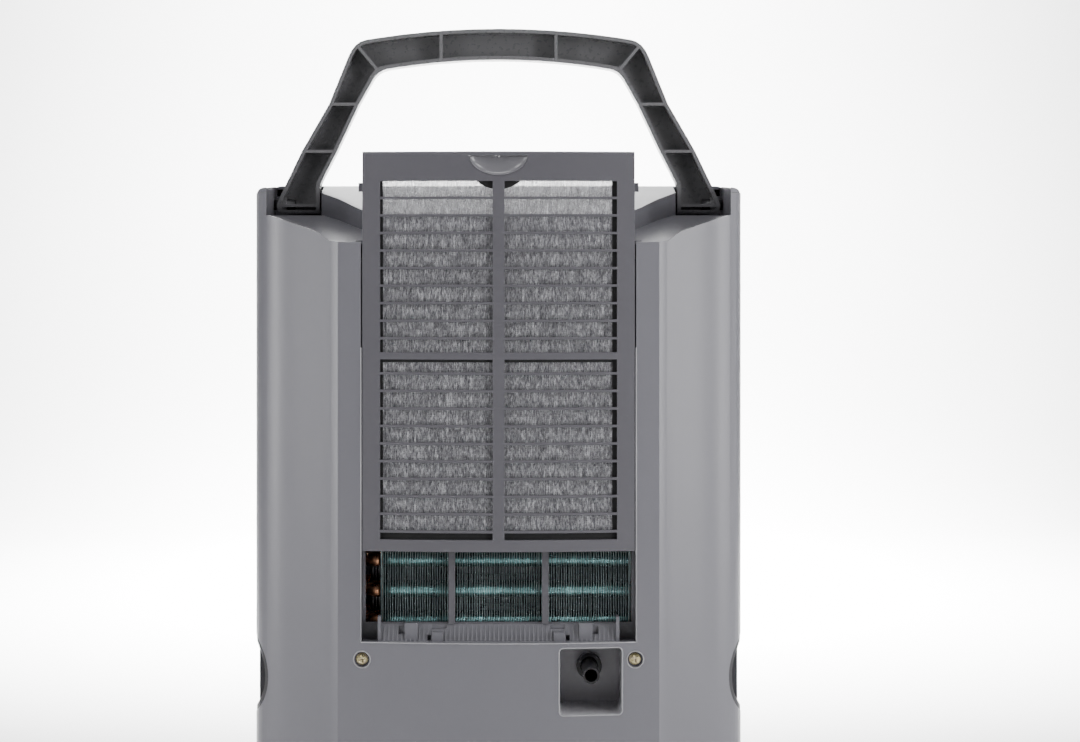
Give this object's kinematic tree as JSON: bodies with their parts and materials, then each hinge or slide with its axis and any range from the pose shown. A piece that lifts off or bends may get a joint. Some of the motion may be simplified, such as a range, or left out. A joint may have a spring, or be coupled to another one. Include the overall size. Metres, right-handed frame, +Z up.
{
  "type": "dehumidifier",
  "caption": "Compact compressor dehumidifier with folding bail handle, lift-out rear air filter, finned coils, fan, drain spigot and pull-out water tank.",
  "frame": {"origin": "middle of the footprint on the floor", "axes": "+Z up, -Y towards the rear panel with the filter, +Y towards the tank and controls, +X to the right seen from the rear"},
  "size_m": [0.34, 0.23, 0.639],
  "materials": {
    "shell_plastic": "fine matt moulded",
    "frame_plastic": "fine matt moulded",
    "handle_plastic": "satin moulded",
    "dark_plastic": "matt moulded",
    "black_plastic": "satin moulded",
    "light_plastic": "satin moulded",
    "panel_plastic": "gloss",
    "evaporator_fin": "blue-green coated aluminium",
    "condenser_fin": "mill finish",
    "sheet_steel": "galvanised",
    "copper_pipe": "drawn copper",
    "screw_zinc": "yellow zinc plated",
    "pin_steel": "ground",
    "black_paint": "satin black",
    "foot_rubber": "matt",
    "circuit_board": "solder mask",
    "capacitor_can": "drawn can",
    "filter_net": "woven net",
    "tank_plastic": "clear moulded",
    "window_plastic": "clear moulded"
  },
  "bodies": {
    "cabinet": {"base_pan": "dark_plastic", "rubber_feet": "foot_rubber", "rear_casing": "shell_plastic", "front_casing": "shell_plastic", "top_cover": "shell_plastic", "bay_frame": "frame_plastic", "evaporator_fins": "evaporator_fin", "evaporator_end_plates": "evaporator_fin", "evaporator_tubes": "copper_pipe", "condenser_fins": "condenser_fin", "condenser_end_plates": "sheet_steel", "condenser_tubes": "copper_pipe", "drip_tray": "black_plastic", "partition_deck": "dark_plastic", "compressor_shell": "black_paint", "compressor_grommets": "foot_rubber", "accumulator": "black_paint", "terminal_cover": "black_plastic", "suction_pipe": "copper_pipe", "discharge_pipe": "copper_pipe", "capillary_tube": "copper_pipe", "filter_drier": "copper_pipe", "fan_housing": "dark_plastic", "fan_motor": "black_paint", "motor_bracket": "sheet_steel", "control_box": "light_plastic", "main_board": "circuit_board", "run_capacitor": "capacitor_can", "display_board": "circuit_board", "control_panel": "panel_plastic", "display_window": "panel_plastic", "outlet_grille": "dark_plastic", "drain_recess": "shell_plastic", "drain_collar": "black_plastic", "drain_nozzle": "black_plastic", "side_grip_left": "dark_plastic", "side_grip_right": "dark_plastic", "casing_screws": "screw_zinc", "cord_inlet": "black_plastic", "tank_switch": "black_plastic", "humidity_sensor": "light_plastic"},
    "handle_body": {"handle": "handle_plastic", "handle_pins": "pin_steel"},
    "filter_body": {"filter_frame": "frame_plastic", "filter_mesh": "filter_net"},
    "tank_body": {"water_tank": "tank_plastic", "tank_lid": "light_plastic", "tank_front": "shell_plastic", "tank_window": "window_plastic"},
    "float_body": {"tank_float": "light_plastic"},
    "fan_body": {"fan_wheel": "light_plastic", "fan_shaft": "pin_steel"},
    "louver_body": {"outlet_louver": "shell_plastic"},
    "button_power_body": {"button_power": "light_plastic"},
    "button_mode_body": {"button_mode": "light_plastic"},
    "button_timer_body": {"button_timer": "light_plastic"},
    "button_fan_body": {"button_fan": "light_plastic"},
    "button_humidity_body": {"button_humidity": "light_plastic"}
  },
  "joints": [
    {"name": "handle_fold", "type": "hinge", "parent": "cabinet", "child": "handle_body", "pos_m": [0, 0.025, 0.51], "axis": [1, 0, 0], "range_deg": [0, 90]},
    {"name": "filter_lift", "type": "slide", "parent": "cabinet", "child": "filter_body", "axis": [0, 0, 1], "range_m": [-0.0615, 0.25]},
    {"name": "tank_pull", "type": "slide", "parent": "cabinet", "child": "tank_body", "axis": [0, 1, 0], "range_m": [0, 0.125]},
    {"name": "float_rise", "type": "slide", "parent": "tank_body", "child": "float_body", "axis": [0, 0, 1], "range_m": [0, 0.12]},
    {"name": "fan_spin", "type": "hinge", "parent": "cabinet", "child": "fan_body", "pos_m": [0, 0.075, 0.35], "axis": [0, 1, 0], "continuous": true},
    {"name": "louver_open", "type": "hinge", "parent": "cabinet", "child": "louver_body", "pos_m": [0, 0.052, 0.52], "axis": [1, 0, 0], "range_deg": [0, 75]},
    {"name": "press_power", "type": "slide", "parent": "cabinet", "child": "button_power_body", "axis": [0, -1, 0], "range_m": [0, 0.0009], "stiffness_N_per_m": 300},
    {"name": "press_mode", "type": "slide", "parent": "cabinet", "child": "button_mode_body", "axis": [0, -1, 0], "range_m": [0, 0.0009], "stiffness_N_per_m": 300},
    {"name": "press_timer", "type": "slide", "parent": "cabinet", "child": "button_timer_body", "axis": [0, -1, 0], "range_m": [0, 0.0009], "stiffness_N_per_m": 300},
    {"name": "press_fan", "type": "slide", "parent": "cabinet", "child": "button_fan_body", "axis": [0, -1, 0], "range_m": [0, 0.0009], "stiffness_N_per_m": 300},
    {"name": "press_humidity", "type": "slide", "parent": "cabinet", "child": "button_humidity_body", "axis": [0, -1, 0], "range_m": [0, 0.0009], "stiffness_N_per_m": 300}
  ]
}
